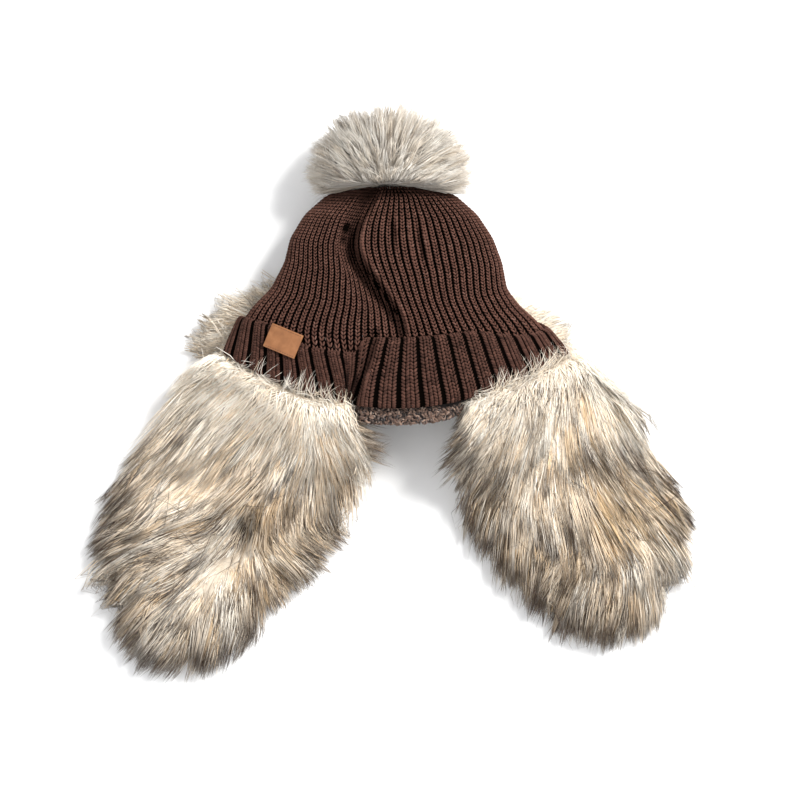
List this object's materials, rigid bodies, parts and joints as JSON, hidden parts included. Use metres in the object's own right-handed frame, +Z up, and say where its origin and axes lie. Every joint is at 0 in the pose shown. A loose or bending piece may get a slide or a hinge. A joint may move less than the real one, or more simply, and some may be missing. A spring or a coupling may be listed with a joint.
{
  "type": "knitted pompom cap with fur ear flaps",
  "caption": "Rib-knit winter cap with a turned-up cuff, boucle lining, long-pile fur ear flaps and a fur pompom, lying on its back with its front up.",
  "frame": {"origin": "on the resting surface, under the middle of the cuff's back, on the nape fur's flat underside", "axes": "+Z up from the surface that the cap lies on, through its back and then its front; +Y towards the crown's tip; +X to the right of its front, seen from above"},
  "size_m": [0.5412, 0.5129, 0.0912],
  "materials": {
    "knit": "dark-brown rib knit",
    "boucle": "brown boucle fleece",
    "label": "smooth tan leather look",
    "flap_fur": "long cream and beige pile with dark-brown tips",
    "pompom_fur": "long cream, tan and grey pile"
  },
  "bodies": {
    "root": {"crown": "knit", "cuff": "knit", "lining": "boucle", "label": "label", "left_flap_fur": "flap_fur", "right_flap_fur": "flap_fur", "left_flap_lining": "boucle", "right_flap_lining": "boucle", "nape_fur": "flap_fur", "pompom": "pompom_fur"}
  },
  "joints": []
}
